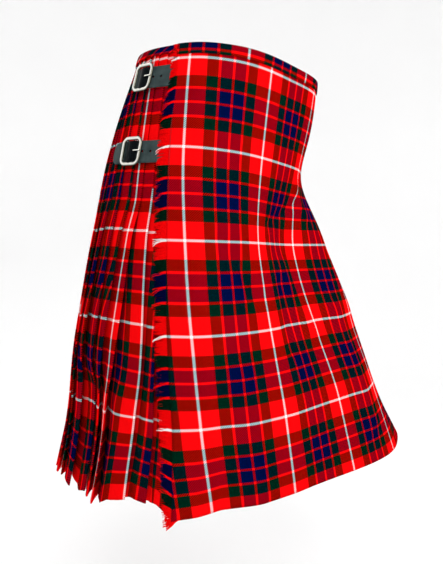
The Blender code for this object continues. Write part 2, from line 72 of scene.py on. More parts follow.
FRAME_CORNER = 0.0080
FRAME_LEVEL = 0.0059
BAR_LEVEL = 0.0036
BAR_RADIUS = 0.0010
PRONG_RADIUS = 0.0009
STRIP_WIDTH = 0.0018
FRINGE_REACH = 0.0165    # of a yarn end past the strip, before its tuft's own share
FRINGE_THREADS = 1100
CORNER_THREADS = 110
FRINGE_THREAD_AT = -0.004   # the fringe's place along the strip

Section = namedtuple("Section", "drop height half_width front back shift_x shift_y "
                                "front_square back_square tilt edge turn")
SECTIONS = (
    Section(0.000, 0.0000, 0.133, 0.119, 0.122, 0.000, 0.000, 2.77, 2.45, 0.0140, 0.0280, 0.03),
    Section(0.143, -0.1385, 0.161, 0.127, 0.138, -0.002, 0.025, 2.74, 2.70, 0.0110, 0.0515, 0.07),
    Section(0.265, -0.2595, 0.189, 0.145, 0.157, 0.007, 0.031, 2.98, 2.85, 0.0050, 0.0685, 0.07),
    Section(0.388, -0.3760, 0.224, 0.152, 0.181, 0.017, 0.018, 3.77, 2.96, 0.0000, 0.0865, 0.05),
    Section(0.510, -0.4880, 0.244, 0.179, 0.206, 0.037, 0.019, 2.91, 3.13, -0.0020, 0.1170, -0.06),
    Section(LENGTH, -0.5915, 0.282, 0.197, 0.228, 0.062, 0.024, 2.72, 3.11, -0.0020, 0.1600, -0.18),
)
TILT_TOWARDS = radians(130)
Pressing = namedtuple("Pressing", "drop pitch freedom wider")
PRESSINGS = (
    Pressing(0.000, 0.0165, 0.00, 0.09),
    Pressing(0.143, 0.0195, 0.00, -0.05),
    Pressing(0.205, 0.0214, 0.00, -0.07),
    Pressing(0.265, 0.0232, 0.30, 0.03),
    Pressing(0.388, 0.0275, 0.60, 0.05),
    Pressing(0.510, 0.0310, 0.85, 0.03),
    Pressing(LENGTH, 0.0340, 1.00, 0.00),
)
Hang = namedtuple("Hang", "extra rise")
HANGS = (
    Hang(0.40, 0.0060), Hang(-0.15, 0.0070), Hang(0.60, 0.0100), Hang(-0.15, 0.0095),
    Hang(-0.30, 0.0060), Hang(0.15, 0.0100), Hang(-0.10, 0.0070), Hang(-0.05, 0.0090),
    Hang(0.20, 0.0080), Hang(-0.20, 0.0070),
)
Fold = namedtuple("Fold", "across_1 drop_1 across_2 drop_2 half_width depth")
FOLDS = (
    Fold(0.197, 0.253, 0.253, 0.321, 0.080, -0.0190),
    Fold(0.306, 0.165, 0.260, 0.246, 0.069, -0.0190),
    Fold(0.160, 0.420, 0.170, 0.600, 0.050, 0.0040),
    Fold(0.430, 0.350, 0.470, 0.620, 0.060, -0.0080),
    Fold(-0.090, 0.500, -0.100, 0.680, 0.040, 0.0080),
    Fold(-0.165, 0.480, -0.185, 0.680, 0.026, -0.0100),
    Fold(-0.330, 0.450, -0.350, 0.680, 0.050, 0.0070),
    Fold(-0.460, 0.430, -0.490, 0.680, 0.045, -0.0080),
)
# Smaller creases of the worn cloth, in the same terms.
CREASES = (
    Fold(0.070, 0.262, 0.130, 0.345, 0.012, -0.0036),
    Fold(0.215, 0.300, 0.250, 0.400, 0.016, 0.0046),
    Fold(0.250, 0.170, 0.300, 0.215, 0.012, 0.0042),
    Fold(0.200, 0.330, 0.190, 0.420, 0.014, -0.0036),
    Fold(0.330, 0.380, 0.350, 0.560, 0.022, 0.0046),
    Fold(0.090, 0.450, 0.110, 0.610, 0.024, 0.0040),
    Fold(0.180, 0.235, 0.270, 0.190, 0.010, -0.0030),
    Fold(0.520, 0.300, 0.560, 0.600, 0.030, 0.0040),
    Fold(0.480, 0.150, 0.540, 0.230, 0.020, -0.0025),
)

# ---------------- the tartan, on the flat cloth
SETT_ACROSS = 0.119
SETT_DOWN = 0.1225
FIRST_WHITE_DOWN = 0.0205
WHITE_PLEAT = 26                # the pleat whose edge is on the white line
WHITE_HIDDEN = 0.006            # this pleat hides its line this far in, at the waist
WHITE_SHOWS = (0.165, 0.05)     # until this drop; then it comes out over this much more
NEXT_WHITE_HIDDEN = 0.023       # the pleats behind the next one hide it this much further in
HIDDEN_GROWS = (0.28, 0.10)     # from this drop, over this much more
BAND_SHIFT = (0.021, -0.0309)   # where the waistband's strip was cut from the sett
BAND_JUMP = 0.055               # further round, it lies this much further along the sett
BAND_JUMPS = (0.30, 0.40)       # from this distance past the apron's edge, over this one

# How the hanging pleats differ from evenly pressed ones.
VALLEY = 0.0030                 # each face dips this much beside the fold before it
VALLEY_SHARE = 0.4              # over this share of the face
WANDER = 0.0014                 # the fold edges stray this much to each side
SWELL = 0.0014                  # the faces swell out this much between their edges
SWELL_VARIES = 0.0010
FOLD_SHIFT = 0.0075             # fold edges near the white pleat move apart by up to this much
SHIFTED_PLEATS = 12             # which fades out over this many pleats
SHIFT_GROWS = (0.34, 0.14)      # and grows from this drop, over this much more
WHITE_SHIFT = (0.41, 0.11)      # the white pleat's own shift is round this drop, this far each way
LAST_CLIMB = 0.72               # the last pleats' share of the pattern's upward shift
CLIMB_VARIES = 0.12             # how unevenly the others have it

# At each drop: how far the apron's cut edge lies before the first white line, how much higher the
# pleats' lines lie than the apron's, how far each pleat's edge moves on along the sett, how far the
# pleats before the white one lag behind that, and the thread on the edge of the last pleats.
Slant = namedtuple("Slant", "drop before_white pleats_up pleat_step lag last_thread")
SLANTS = (
    Slant(0.000, 0.0198, 0.004, 0.0165, 0.0065, 0.030),
    Slant(0.143, 0.0196, 0.009, 0.0165, 0.0065, 0.030),
    Slant(0.265, 0.0235, 0.0135, 0.0195, 0.0095, 0.033),
    Slant(0.388, 0.0291, 0.0125, 0.0160, 0.0030, 0.044),
    Slant(0.510, 0.0341, 0.007, 0.0145, 0.0110, 0.050),
    Slant(LENGTH, 0.0499, 0.006, 0.0145, 0.0115, 0.054),
)

ROWS = 110
APRON_COLUMNS = 140
UNDER_COLUMNS = 100
HIDDEN_COLUMNS = 4
SHOWN_COLUMNS = 8
FOLD_ROUND = np.radians([50, 0, -50])
BACK_SHARES = np.linspace(0, 1, 5)
FINE_STEP = 0.0005              # threads and stitches take the nearest layout on this step
RING_STEPS = 1440
FRONT_SHARE = 0.5
LAST_PLEATS = 3


# ---------------- the body line
def smooth(rows, column, drop):
    """A column of a table read at any drop, by a cubic through its rows that never overshoots."""
    at = np.array([row.drop for row in rows])
    value = np.array([getattr(row, column) for row in rows])
    step = np.diff(at)
    slope = np.diff(value) / step
    tangent = np.zeros(len(at))
    tangent[0], tangent[-1] = slope[0], slope[-1]
    for i in range(1, len(at) - 1):
        if slope[i - 1] * slope[i] > 0:
            tangent[i] = 2 * slope[i - 1] * slope[i] / (slope[i - 1] + slope[i])
    i = int(np.clip(np.searchsorted(at, drop) - 1, 0, len(step) - 1))
    x = (drop - at[i]) / step[i]
    return float(value[i] * (1 + 2 * x) * (1 - x) ** 2 + tangent[i] * step[i] * x * (1 - x) ** 2
                 + value[i + 1] * x * x * (3 - 2 * x) + tangent[i + 1] * step[i] * x * x * (x - 1))


def row_at(rows, drop):
    """A row for any drop, between those of a table."""
    kind = type(rows[0])
    return kind(drop, *[smooth(rows, name, drop) for name in kind._fields[1:]])


def ease(x):
    """0 to 1 with soft ends."""
    x = np.clip(x, 0.0, 1.0)
    return x * x * (3 - 2 * x)


def onset(value, start, over):
    """0 up to start and 1 from over past it, with soft ends."""
    return float(ease((value - start) / over))


# How far the hem hangs lower, by the distance past the apron's edge. It fades out up the cloth.
Sag = namedtuple("Sag", "past down")
SAGS = (
    Sag(-0.45, 0.0), Sag(-0.33, 0.024), Sag(-0.27, 0.017), Sag(-0.235, 0.010), Sag(-0.20, 0.023),
    Sag(-0.17, 0.014), Sag(-0.12, 0.013), Sag(-0.09, -0.003), Sag(-0.055, -0.010),
    Sag(-0.018, -0.005), Sag(0.0, 0.011), Sag(0.03, 0.008), Sag(0.06, 0.003), Sag(0.12, 0.004),
    Sag(0.20, 0.0),
)
SAG_FROM = 0.46


class Ring:
    """The body line at one drop, measured from the wearer's right side forwards."""

    def __init__(self, drop):
        size = row_at(SECTIONS, drop)
        self.drop = drop
        self.edge = size.edge
        angle = np.linspace(pi, 3 * pi, RING_STEPS + 1)
        front = np.sin(angle) < 0
        depth = np.where(front, size.front, size.back)
        square = np.where(front, size.front_square, size.back_square)
        radius = (np.abs(np.cos(angle) / size.half_width) ** square
                  + np.abs(np.sin(angle) / depth) ** square) ** (-1 / square)
        angle = angle + size.turn
        self.x = size.shift_x + radius * np.cos(angle)
        self.y = size.shift_y + radius * np.sin(angle)
        self.z = size.height + size.tilt * np.cos(angle - TILT_TOWARDS)
        self.arc = np.concatenate([[0], np.cumsum(np.hypot(np.diff(self.x), np.diff(self.y)))])
        self.girth = self.arc[-1]
        self.dx = np.gradient(self.x, self.arc)
        self.dy = np.gradient(self.y, self.arc)

    def points(self, across, out):
        """The points at distances round the ring and heights out from it."""
        across = np.asarray(across, float) % self.girth
        x, y, z, dx, dy = (np.interp(across, self.arc, line)
                           for line in (self.x, self.y, self.z, self.dx, self.dy))
        past = across - self.edge
        past = np.where(past > self.girth * FRONT_SHARE, past - self.girth, past)
        out = out + self.folds(past)
        long = np.hypot(dx, dy)
        loose = ease((self.drop - SAG_FROM) / (LENGTH - SAG_FROM))
        z = z - loose * np.interp(past, [sag.past for sag in SAGS], [sag.down for sag in SAGS])
        return np.stack([x + dy / long * out, y - dx / long * out, z], -1)

    def folds(self, past):
        """The height of the broad folds and the creases, by the distance past the apron's edge."""
        total = np.zeros_like(past)
        for fold in FOLDS + CREASES:
            start = np.array([fold.across_1, fold.drop_1])
            end = np.array([fold.across_2, fold.drop_2])
            here = np.stack([past, np.full_like(past, self.drop)], -1)
            along = np.clip((here - start) @ (end - start) / np.dot(end - start, end - start), 0, 1)
            far = np.linalg.norm(here - start - along[:, None] * (end - start), axis=-1)
            total += fold.depth * np.exp(-(far / fold.half_width) ** 2)
        return total


@lru_cache(maxsize=None)
def ring_at(drop):
    return Ring(drop)


# ---------------- the pleats
def hang(pleat):
    """How pleat number 1 to PLEATS hangs."""
    return HANGS[(PLEATS - pleat) % len(HANGS)]


class Layout:
    """The cloth's layout at one drop."""

    def __init__(self, drop):
        self.drop = drop
        self.ring = ring_at(drop)
        self.edge = self.ring.edge
        self.slant = row_at(SLANTS, drop)
        _, pitch, free, wider = row_at(PRESSINGS, drop)
        self.freedom = free
        width = [pitch * (1 + free * hang(k).extra + (wider if k > PLEATS - LAST_PLEATS else 0))
                 for k in range(PLEATS + 1)]
        self.rise = [2 * LAYER + free * (hang(k).rise - 2 * LAYER) for k in range(PLEATS + 1)]
        self.fold = [self.edge + APRON_LAP - sum(width[k + 1:]) for k in range(PLEATS + 1)]
        for k in range(2, PLEATS):
            self.fold[k] += WANDER * free * sin(2.7 * k + 9 * drop)
        for k in range(WHITE_PLEAT - SHIFTED_PLEATS, WHITE_PLEAT):
            near = 1 - (WHITE_PLEAT - 1 - k) / SHIFTED_PLEATS
            self.fold[k] -= FOLD_SHIFT * near * onset(drop, *SHIFT_GROWS)
        middle, spread = WHITE_SHIFT
        self.fold[WHITE_PLEAT] += FOLD_SHIFT * exp(-((drop - middle) / spread) ** 2)
        self.width = [width[0]] + [self.fold[k] - self.fold[k - 1] for k in range(1, PLEATS + 1)]
        self.left_fold = self.fold[1] + self.ring.girth

    def belly(self, across):
        """How far the hanging faces swell between their fold edges."""
        fold = np.array(self.fold[1:])
        zone = np.clip(np.searchsorted(fold, across), 1, PLEATS - 1)
        share = np.clip((across - fold[zone - 1]) / (fold[zone] - fold[zone - 1]), 0, 1)
        swell = self.freedom * (SWELL + SWELL_VARIES * np.sin(3.1 * zone))
        inside = (across > fold[0]) & (across < fold[-1])
        return np.where(inside, swell * np.sin(pi * share), 0.0)

    def face(self, k, across):
        """Height of face k, visible or hidden; the under apron is face PLEATS + 1."""
        if k > PLEATS:
            return self.face(PLEATS, across) - 2 * LAYER
        if k == 1:
            return np.zeros_like(across)
        own = self.rise[k] * (self.fold[k] - across) / self.width[k]
        before = self.rise[k - 1] * (self.fold[k - 1] - across) / self.width[k - 1]
        under = self.rise[k] + (before if k > 2 else 0.0)
        return -np.where(across < self.fold[k - 1], under, own)

    def fall_after(self, k):
        """How much lower the next pleat's face starts at the fold of pleat k."""
        return self.rise[k + 1] if k < PLEATS else 2 * LAYER


@lru_cache(maxsize=None)
def layout_at(drop):
    return Layout(drop)


def apron_out(past):
    """Height of the over apron at a distance past its edge."""
    return APRON_LIFT * (1 - ease((past - LIFT_FLAT) / LIFT_RUN))


def edge_thread(layout, k):
    """Which thread of the strip lies on the fold edge of pleat k."""
    slant = layout.slant
    if k == 1:
        return layout.left_fold - layout.edge - slant.before_white
    if k > WHITE_PLEAT:
        return slant.last_thread
    if k == WHITE_PLEAT:
        return -WHITE_HIDDEN * (1.0 - onset(layout.drop, *WHITE_SHOWS))
    deeper = NEXT_WHITE_HIDDEN * onset(layout.drop, *HIDDEN_GROWS) if k < WHITE_PLEAT - 1 else 0.0
    return (WHITE_PLEAT - k) * slant.pleat_step - slant.lag + deeper


def climb(k):
    """How much of the pleats' upward shift of the pattern pleat k has."""
    if k == 1:
        return 0.0
    return LAST_CLIMB if k > WHITE_PLEAT else 1.0 + CLIMB_VARIES * sin(5 * k)


class Line:
    """The cloth's line at one drop, gathered piece by piece.

    Each point has its place across, its height out, its thread of the strip and its climb.
    """

    def __init__(self):
        self.stretches = []

    def add(self, across, *others):
        across = np.atleast_1d(np.asarray(across, float))
        self.stretches.append([across] + [np.broadcast_to(values, across.shape) for values in others])

    def done(self):
        return tuple(np.concatenate(values) for values in zip(*self.stretches))


def back_layer(layout, k):
    """The hidden layer of pleat k, from its fold edge inwards: across and out at BACK_SHARES."""
    edge, deep = layout.fold[k], layout.width[k] - INNER_SPACE
    across = edge - TURN + BACK_SHARES * (2 * TURN - deep)
    share = (edge - across) / deep
    out = layout.face(k, across) - LAYER - (layout.fall_after(k) - 2 * LAYER) * share
    return across, out


def round_fold(line, layout, k):
    """Round the fold edge of pleat k."""
    edge = layout.fold[k]
    middle = layout.face(k, edge) - LAYER / 2
    line.add(edge - TURN + TURN * np.cos(FOLD_ROUND), middle + LAYER / 2 * np.sin(FOLD_ROUND),
             edge_thread(layout, k), climb(k))


def in_and_out(line, layout, k, first=0):
    """In under the face of pleat k from a share of its back layer, and out over the next face."""
    edge, deep = layout.fold[k], layout.width[k] - INNER_SPACE
    across, out = back_layer(layout, k)
    thread = edge_thread(layout, k)
    line.add(across[first:], out[first:], thread + (edge - across[first:]), climb(k))
    inner = edge - deep
    lifted = climb(min(k + 1, PLEATS))
    after = layout.fold[k + 1] if k < PLEATS else layout.edge + APRON_LAP
    next_thread = edge_thread(layout, k + 1) if k < PLEATS else thread + 2 * deep
    low, high = float(layout.face(k + 1, inner + TURN)), float(out[-1])
    line.add(inner + TURN - TURN * np.cos(FOLD_ROUND),
             (low + high) / 2 + (high - low) / 2 * np.sin(FOLD_ROUND),
             next_thread - (after - inner), lifted)
    dip = VALLEY * layout.freedom if k < PLEATS else 0.0
    hidden = np.linspace(inner + TURN, edge, HIDDEN_COLUMNS)[:-1]
    sunk = dip * ease((hidden - inner) / (edge - inner))
    line.add(hidden, layout.face(k + 1, hidden) - sunk, next_thread - (after - hidden), lifted)
    if k < PLEATS:
        shown = np.linspace(edge, after - TURN, SHOWN_COLUMNS)
        sunk = dip * (1.0 - ease((shown - edge) / (after - edge) / VALLEY_SHARE))
        line.add(shown, layout.face(k + 1, shown) - sunk, next_thread - (after - shown), lifted)


def left_line(layout):
    """Over apron and left-hand pleats."""
    line = Line()
    past = np.linspace(0, layout.left_fold - TURN - layout.edge, APRON_COLUMNS)
    line.add(layout.edge + past, apron_out(past), past - layout.slant.before_white, 0.0)
    for k in range(1, SEAM_PLEAT):
        round_fold(line, layout, k)
        in_and_out(line, layout, k)
    round_fold(line, layout, SEAM_PLEAT)
    across, out = back_layer(layout, SEAM_PLEAT)
    thread = edge_thread(layout, SEAM_PLEAT) + layout.fold[SEAM_PLEAT] - across
    line.add(across[:2], out[:2], thread[:2], 1.0)
    return line.done()


def right_line(layout):
    """Right-hand pleats and under apron."""
    line = Line()
    in_and_out(line, layout, SEAM_PLEAT, first=2)
    for k in range(SEAM_PLEAT + 1, PLEATS + 1):
        round_fold(line, layout, k)
        in_and_out(line, layout, k)
    last = layout.fold[PLEATS]
    across = np.linspace(last, layout.left_fold - 3 * layout.width[1], UNDER_COLUMNS)
    thread = edge_thread(layout, PLEATS) + 2 * (layout.width[PLEATS] - INNER_SPACE) + across - last
    line.add(across, -2 * LAYER, thread, 0.0)
    return line.done()


# ---------------- making pieces
def add_object(name, data):
    """A new object in the scene."""
    item = bpy.data.objects.new(name, data)
    bpy.context.scene.collection.objects.link(item)
    return item


def mesh_of(bm, name):
    """A mesh of a finished bmesh, which is then gone."""
    mesh = bpy.data.meshes.new(name)
    bm.to_mesh(mesh)
    bm.free()
    return mesh


def add_line(curve, points, closed=False):
    """Adds one line of straight stretches to a curve."""
    spline = curve.splines.new("POLY")
    spline.points.add(len(points) - 1)
    for point, at in zip(spline.points, points):
        point.co = (*at, 1.0)
    spline.use_cyclic_u = closed
    return spline


def mesh_of_curve(curve, name, *also_needed):
    """A mesh of a curve as it is drawn; the objects made for it are removed."""
    drawn = add_object(name + "_line", curve)
    mesh = bpy.data.meshes.new_from_object(drawn.evaluated_get(bpy.context.evaluated_depsgraph_get()))
    for item in (drawn, *also_needed):
        bpy.data.objects.remove(item)
    return mesh


def lay_flat(mesh, uv):
    """Gives a mesh its place on the flat cloth, from one place for each vertex."""
    corner = np.zeros(len(mesh.loops), np.int32)
    mesh.loops.foreach_get("vertex_index", corner)
    layer = mesh.uv_layers.new(name="cloth")
    layer.data.foreach_set("uv", uv[corner].reshape(-1).astype(np.float32))


def finish_piece(item, material, replaced):
    """Gives a piece its material and its place in the frame."""
    item.data.materials.clear()
    item.data.materials.append(material)
    item.data.shade_smooth()
    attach(item, "root")
    if replaced:
        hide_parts(*replaced)
    return item


def net(name, points, uv):
    """A grid mesh laid through rows of points, with the flat cloth's own UV map."""
    high, wide = points.shape[:2]
    bm = bmesh.new()
    bmesh.ops.create_grid(bm, x_segments=wide - 1, y_segments=high - 1, size=0.5)
    mesh = mesh_of(bm, name)
    mesh.vertices.foreach_set("co", points.reshape(-1).astype(np.float32))
    lay_flat(mesh, uv.reshape(-1, 2))
    mesh.update()
    return add_object(name, mesh)


def thicken(item, thickness):
    wall = item.modifiers.new("wall", "SOLIDIFY")
    wall.thickness = thickness
    wall.offset = 0.0
    wall.use_even_offset = True


def round_edges(item, width, segments=2, angle=50):
    edges = item.modifiers.new("rounded", "BEVEL")
    edges.width = width
    edges.segments = segments
    edges.limit_method = "ANGLE"
    edges.angle_limit = radians(angle)


def settled(item):
    """The piece with its modifiers made part of its mesh."""
    graph = bpy.context.evaluated_depsgraph_get()
    mesh = bpy.data.meshes.new_from_object(item.evaluated_get(graph), preserve_all_data_layers=True,
                                           depsgraph=graph)
    name = item.name
    old = item.data
    item.modifiers.clear()
    item.data = mesh
    bpy.data.meshes.remove(old)
    mesh.name = name
    return item


def cloth(name, line_at):
    """A length of cloth."""
    drops = np.linspace(LENGTH, 0.0, ROWS + 1)
    points, uv = [], []
    for drop in drops:
        layout = layout_at(drop)
        across, out, thread, climbs = line_at(layout)
        points.append(layout.ring.points(across, out + layout.belly(across)))
        uv.append(np.stack([thread, drop + climbs * layout.slant.pleats_up], -1))
    item = net(name, np.array(points), np.array(uv))
    thicken(item, CLOTH)
    return item


def surface(past, drop, out):
    """A point on the cloth: past the over apron's edge, below the waist, and out."""
    layout = layout_at(drop)
    across = layout.edge + np.atleast_1d(past)
    return layout.ring.points(across, out + layout.belly(across))


def make_waistband():
    """The strip round the top: over the over apron and the pleats, and in under the apron's edge."""
    rows, over_columns, under_columns = 9, 420, 90
    tuck, tuck_run = 0.300, 0.050
    puff_height = 0.0004
    width, slimmer, slimmer_before, slimmer_run = 0.86, 0.26, 0.17, 0.06
    points, uv = [], []
    for share in np.linspace(1, 0, rows):
        drop = share * BAND_HEIGHT
        layout = layout_at(drop)
        girth = layout.ring.girth
        over = np.linspace(0, girth + APRON_LAP - 0.001, over_columns)
        under = np.linspace(girth + APRON_LAP, girth + tuck, under_columns)
        past = np.concatenate([over, under])
        lift = np.where(past < girth / 2, apron_out(past), 0.0)
        sinking = ease((past - girth - APRON_LAP) / tuck_run)
        puff = puff_height * sin(pi * share) ** 0.5
        out = lift + LAYER - 2 * LAYER * sinking + puff
        points.append(layout.ring.points(layout.edge + past, out))
        narrow = width - slimmer * ease((past - girth + slimmer_before) / slimmer_run)
        thread = past + BAND_SHIFT[0] + BAND_JUMP * ease((past - BAND_JUMPS[0]) / BAND_JUMPS[1])
        uv.append(np.stack([thread, drop * narrow + BAND_SHIFT[1]], -1))
    # The last row is the top edge, and the strip is narrowed towards it.
    points = np.array(points)
    points = points[-1] + (points - points[-1]) * narrow[:, None]
    item = net("kilt_waistband", points, np.array(uv))
    thicken(item, BAND_THICK)
    return item


# ---------------- fringe and stitches
def wires(name, paths, radius, resolution=0):
    """Many thin threads as one mesh; every thread takes the same number of points."""
    curve = bpy.data.curves.new(name, "CURVE")
    curve.dimensions = "3D"
    curve.bevel_depth = radius
    curve.bevel_resolution = resolution
    curve.use_fill_caps = True
    for path in paths:
        add_line(curve, path).points[-1].radius = 0.5
    mesh = mesh_of_curve(curve, name)
    mesh.name = name
    return add_object(name, mesh)


def thread_uv(mesh, paths, down):
    """Gives every thread of a wires mesh its own place down the flat cloth."""
    finder = KDTree(sum(len(path) for path in paths))
    places = [(point, drop) for path, drop in zip(paths, down) for point in path]
    for number, (point, drop) in enumerate(places):
        finder.insert(point, number)
    finder.balance()
    nearest = np.array([places[finder.find(vert.co)[1]][1] for vert in mesh.vertices])
    for layer in list(mesh.uv_layers):
        mesh.uv_layers.remove(layer)
    lay_flat(mesh, np.stack([np.full(len(nearest), FRINGE_THREAD_AT), nearest], -1))


def fine_layout(drop):
    return layout_at(round(drop / FINE_STEP) * FINE_STEP)


def make_fringe():
    """Loose yarn ends along the over apron's free edge, in tufts, with a thicker tuft at its corner."""
    chance = Random(5)
    paths, down = [], []
    left = 0
    for i in range(FRINGE_THREADS + CORNER_THREADS):
        if left == 0:
            left = chance.randint(5, 13)
            tuft_reach = chance.uniform(0.90, 1.12)
            tuft_sag = chance.gauss(0.0022, 0.0012)
            tuft_lift = chance.uniform(-0.0004, 0.0009)
        left -= 1
        drop = LENGTH * (i + 0.5) / FRINGE_THREADS
        corner = i >= FRINGE_THREADS
        if corner:
            drop = LENGTH - chance.uniform(0.0005, 0.0160)
        # The white yarn ends and those of the two thin red stripes curl.
        half = abs((drop - FIRST_WHITE_DOWN) / SETT_DOWN % 1.0 - 0.5) * 2
        curly = half > 0.965 or 0.29 < half < 0.35 or half < 0.03
        # Shorter at the top and the bottom, and shortest in the last stretch before the hem.
        last = float(ease((drop - LENGTH) / 0.030 + 1))
        reach = FRINGE_REACH * tuft_reach * chance.uniform(0.93, 1.02) * (1.12 if curly else 1.0)
        reach *= 0.45 + 0.55 * onset(drop, 0.01, 0.13) - 0.25 * onset(drop, 0.46, 0.12)
        reach *= 1 - (0.70 if corner else 0.40) * last
        root = 0.0045 * (1 - onset(drop, 0.05, 0.10)) + 0.010 * last
        sag = tuft_sag + chance.gauss(0, 0.0006) + (chance.uniform(0.002, 0.007) if curly else 0.0)
        sag += 0.015 * last - 0.016 * max(0.0, 1 - drop / 0.022)
        lift = tuft_lift + chance.uniform(-0.0004, 0.0004)
        wave = chance.uniform(-1, 1) * (0.0016 if curly else 0.0004)
        turned = chance.uniform(0, 2 * pi)
        path = []
        for share in (0.0, 0.1, 0.3, 0.5, 0.75, 1.0):
            low = drop + sag * share ** 1.6 + wave * share * sin(7 * share + turned)
            layout = fine_layout(min(max(low, 0.0), LENGTH))
            beyond = root - STRIP_WIDTH * 0.3 - (reach + root + STRIP_WIDTH) * share
            over = 0.0011 * onset(beyond, -0.002, 0.003) * min(share / 0.1, 1.0)
            out = APRON_LIFT + over + lift * share - 0.0012 * share * share
            point = layout.ring.points(layout.edge + np.array([beyond]), out)[0]
            path.append(point - (0, 0, max(low - LENGTH, 0.0)))
        paths.append(np.array(path))
        down.append(drop)
    item = wires("kilt_fringe", paths, 0.00050)
    thread_uv(item.data, paths, down)
    return item


def make_edge_stitches():
    """The row of stitches that stops the cloth's edge from fraying further."""
    pitch, long, in_from_edge = 0.0034, 0.0019, 0.0012
    paths = []
    for i in range(int(LENGTH / pitch)):
        path = []
        for share in (0.0, 0.25, 0.75, 1.0):
            layout = fine_layout(pitch * (i + 0.3) + long * share)
            out = APRON_LIFT + CLOTH / 2 + (0.00022 if 0 < share < 1 else -0.0003)
            path.append(layout.ring.points(layout.edge + np.array([in_from_edge]), out)[0])
        paths.append(np.array(path))
    return wires("kilt_edge_stitches", paths, 0.00026, 1)


# ---------------- straps and buckles
Bend = namedtuple("Bend", "along out")
TAIL_STEPS = (0.0, 0.0012, 0.0036, 0.0076)
TAIL_HIGH, TAIL_LOW = 0.0031, 0.0020
TAB_TAIL = -0.0260
STRAP_IN_BUCKLE = (
    Bend(-0.0185, 0.0031), Bend(-0.0140, 0.0031), Bend(-0.0100, 0.0037), Bend(-0.0060, 0.0056),
    Bend(-0.0030, 0.0069), Bend(0.0000, 0.0073), Bend(0.0030, 0.0069), Bend(0.0060, 0.0056),
    Bend(0.0105, 0.0039), Bend(0.0155, 0.0030), Bend(0.0210, 0.0021), Bend(0.0245, 0.0018),
)
STRAP_THROUGH_SLIT = (
    Bend(0.0280, 0.0016), Bend(0.0310, 0.0010), Bend(0.0360, -0.0026), Bend(0.0400, -0.0042),
)
HOLES = (0.0045, 0.0045 + HOLE_PITCH, 0.0045 + 2 * HOLE_PITCH)
Fastening = namedtuple("Fastening", "name behind drop tail")
RIGHT_FASTENINGS = (
    Fastening("waist_right", 0.060, 0.043, 0.030),
    Fastening("hip_right", 0.064, 0.149, 0.044),
)
LEFT_FASTENING = Fastening("waist_left", 0.006, 0.048, 0.030)
RIGHT_ROOT = 0.022


class Place:
    """The place of one buckle: along runs to the strap's root, up runs up the kilt, out stands off it."""

    def __init__(self, past, drop, forwards):
        self.past, self.drop, self.forwards = past, drop, forwards
        self.origin = surface(past, drop, 0.0)[0]
        step = 0.010
        tangent = surface(past + step, drop, 0.0)[0] - surface(past - step, drop, 0.0)[0]
        tangent /= np.linalg.norm(tangent)
        up = surface(past, drop - step, 0.0)[0] - surface(past, drop + step, 0.0)[0]
        self.lean = np.dot(up, tangent) / (2 * step)
        up -= tangent * np.dot(up, tangent)
        self.rise = np.linalg.norm(up) / (2 * step)
        self.up = up / np.linalg.norm(up)
        self.out = np.cross(tangent, self.up)
        self.along = tangent * forwards

    def laid(self, along, up, out, flat_to):
        """A point that lies on the cloth, and keeps its flat height out to flat_to from the bar."""
        climb = up / self.rise
        drop = round((self.drop - climb) / 0.0001) * 0.0001
        past = self.past + self.forwards * along - self.lean * climb
        at = surface(past, drop, 0.0)[0]
        fall = np.dot(at - self.origin, self.out)
        share = float(ease(2.0 - abs(along) / flat_to))
        return surface(past, drop, out - fall * share)[0]

    def matrix(self):
        """From the buckle's flat frame, X along the cloth, Y up, Z out."""
        axes = (self.along * self.forwards, self.up, self.out)
        turned = Matrix([[float(axis[i]) for axis in axes] for i in range(3)]).to_4x4()
        return Matrix.Translation(Vector(self.origin)) @ turned


def soft_bends(bends, step=0.0011):
    """The strap's path with its corners rounded: places along it and heights."""
    along = np.array([bend.along for bend in bends])
    out = np.array([bend.out for bend in bends])
    fine = np.linspace(along[0], along[-1], int((along[-1] - along[0]) / step) + 1)
    height = np.interp(fine, along, out)
    weight = np.array([1, 2, 3, 2, 1]) / 9
    padded = np.concatenate([height[:1].repeat(2), height, height[-1:].repeat(2)])
    return fine, np.convolve(padded, weight, "valid")


def make_strap(fastening, place, bends, holes, leather):
    """A leather strap with a round tip, its holes cut through."""
    along, height = soft_bends(bends)
    tip, round_long, blunt = along[0], 0.011, 0.30
    columns = 15
    points, uv = [], []
    for share in np.linspace(-1, 1, columns):
        row, flat = [], []
        for at, out in zip(along, height):
            inwards = min((at - tip) / round_long, 1.0)
            half = STRAP_WIDTH / 2 * (blunt + (1 - blunt) * (1 - (1 - inwards) ** 2) ** 0.5)
            row.append(place.laid(at, share * half, out, FRAME_WIDTH / 3))
            flat.append((at, share * half))
        points.append(row if place.forwards > 0 else row[::-1])
        uv.append(flat if place.forwards > 0 else flat[::-1])
    item = net("kilt_strap_" + fastening.name, np.array(points), np.array(uv))
    thicken(item, STRAP_THICK)
    settled(item)
    cutters = []
    for at in holes:
        bm = bmesh.new()
        bmesh.ops.create_cone(bm, cap_ends=True, segments=20, radius1=STRAP_HOLE / 2 * 0.8,
                              radius2=STRAP_HOLE / 2 * 0.8, depth=0.030)
        bmesh.ops.translate(bm, verts=bm.verts, vec=(at * place.forwards, 0, 0))
        bmesh.ops.transform(bm, matrix=place.matrix(), verts=bm.verts)
        cutters.append(add_object("hole", mesh_of(bm, "hole")))
        step = item.modifiers.new("hole", "BOOLEAN")
        step.solver = "EXACT"
        step.object = cutters[-1]
    settled(item)
    for cutter in cutters:
        bpy.data.objects.remove(cutter)
    round_edges(item, 0.00035)
    return finish_piece(item, leather, ["strap_" + fastening.name])


